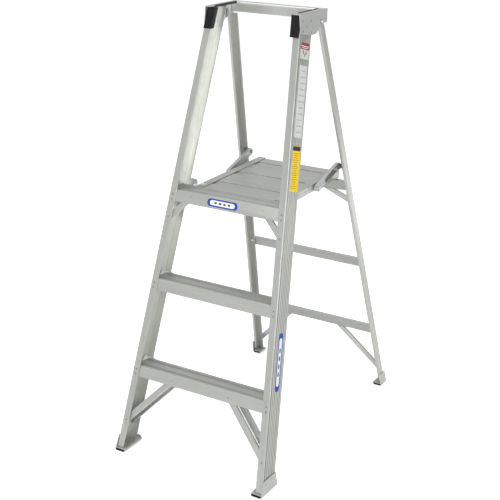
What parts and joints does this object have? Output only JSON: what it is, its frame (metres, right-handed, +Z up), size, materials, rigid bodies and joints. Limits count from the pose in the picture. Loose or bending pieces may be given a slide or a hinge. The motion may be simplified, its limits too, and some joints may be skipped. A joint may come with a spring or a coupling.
{
  "type": "platform step ladder",
  "caption": "Folding aluminium platform step ladder with flat steps, a planked platform and a waist-high guard rail, on shoes with rubber pads.",
  "frame": {"origin": "on the floor, in the middle of the base (bottom centre of the bounding box)", "axes": "+X to the user's right, +Y from the climbing side to the back, +Z up"},
  "size_m": [0.6098, 0.987, 1.5207],
  "materials": {
    "rail_aluminium": "extruded, satin",
    "brace_aluminium": "extruded, satin",
    "step_aluminium": "extruded, satin, ribbed tread bands",
    "deck_aluminium": "extruded, satin",
    "guard_aluminium": "pressed sheet, satin",
    "arm_aluminium": "pressed, satin",
    "foot_aluminium": "extruded, satin",
    "cap_plastic": "matte black",
    "pad_rubber": "matte black",
    "zinc_steel": "bright zinc plate",
    "dark_steel": "dark plated"
  },
  "bodies": {
    "front": {"lower_step": "step_aluminium", "upper_step": "step_aluminium", "platform_step": "step_aluminium", "guard_bar": "guard_aluminium", "front_rail_left": "rail_aluminium", "front_rail_right": "rail_aluminium", "step_brace_front_left": "brace_aluminium", "step_brace_front_right": "brace_aluminium", "step_brace_back_left": "brace_aluminium", "step_brace_back_right": "brace_aluminium", "knee_brace_left": "brace_aluminium", "knee_brace_right": "brace_aluminium", "guard_plate_left": "guard_aluminium", "guard_plate_right": "guard_aluminium", "end_cap_left": "cap_plastic", "end_cap_right": "cap_plastic", "front_foot_left": "foot_aluminium", "front_foot_right": "foot_aluminium", "front_pad_left": "pad_rubber", "front_pad_right": "pad_rubber", "platform_bracket_left": "zinc_steel", "platform_bracket_right": "zinc_steel", "platform_pin_left": "zinc_steel", "platform_pin_right": "zinc_steel", "rear_hinge_bolt_left": "zinc_steel", "rear_hinge_bolt_right": "zinc_steel"},
    "rear": {"rear_bar_top": "brace_aluminium", "rear_bar_middle": "brace_aluminium", "rear_bar_bottom": "brace_aluminium", "rear_rail_left": "rail_aluminium", "rear_rail_right": "rail_aluminium", "rear_brace_top_left": "brace_aluminium", "rear_brace_top_right": "brace_aluminium", "rear_brace_bottom_left": "brace_aluminium", "rear_brace_bottom_right": "brace_aluminium", "rear_foot_left": "foot_aluminium", "rear_foot_right": "foot_aluminium", "rear_pad_left": "pad_rubber", "rear_pad_right": "pad_rubber", "spreader_bracket_left": "dark_steel", "spreader_bracket_right": "dark_steel", "spreader_pin_left": "dark_steel", "spreader_pin_right": "dark_steel"},
    "platform": {"deck_plank_front": "deck_aluminium", "deck_plank_middle": "deck_aluminium", "deck_plank_back": "deck_aluminium", "side_beam_left": "deck_aluminium", "side_beam_right": "deck_aluminium"},
    "spreader_left": {"spreader_arm_left": "arm_aluminium", "spreader_bolt_left": "zinc_steel"},
    "spreader_right": {"spreader_arm_right": "arm_aluminium", "spreader_bolt_right": "zinc_steel"}
  },
  "joints": [
    {"name": "rear_fold", "type": "hinge", "parent": "front", "child": "rear", "pos_m": [0, 0.08509, 1.47955], "axis": [-1, 0, 0], "range_deg": [0, 27]},
    {"name": "platform_fold", "type": "hinge", "parent": "front", "child": "platform", "pos_m": [0, -0.12192, 0.90551], "axis": [1, 0, 0], "range_deg": [0, 62.5]},
    {"name": "spreader_left_fold", "type": "hinge", "parent": "rear", "child": "spreader_left", "pos_m": [-0.18288, 0.22987, 0.94615], "axis": [-1, 0, 0], "range_deg": [0, 82.5]},
    {"name": "spreader_right_fold", "type": "hinge", "parent": "rear", "child": "spreader_right", "pos_m": [0.18288, 0.22987, 0.94615], "axis": [-1, 0, 0], "range_deg": [0, 82.5]}
  ],
  "couplings": [
    {"joint": "platform_fold", "follows": "rear_fold", "ratio": 2.2981},
    {"joint": "spreader_left_fold", "follows": "rear_fold", "ratio": 3.0389},
    {"joint": "spreader_right_fold", "follows": "rear_fold", "ratio": 3.0389}
  ]
}
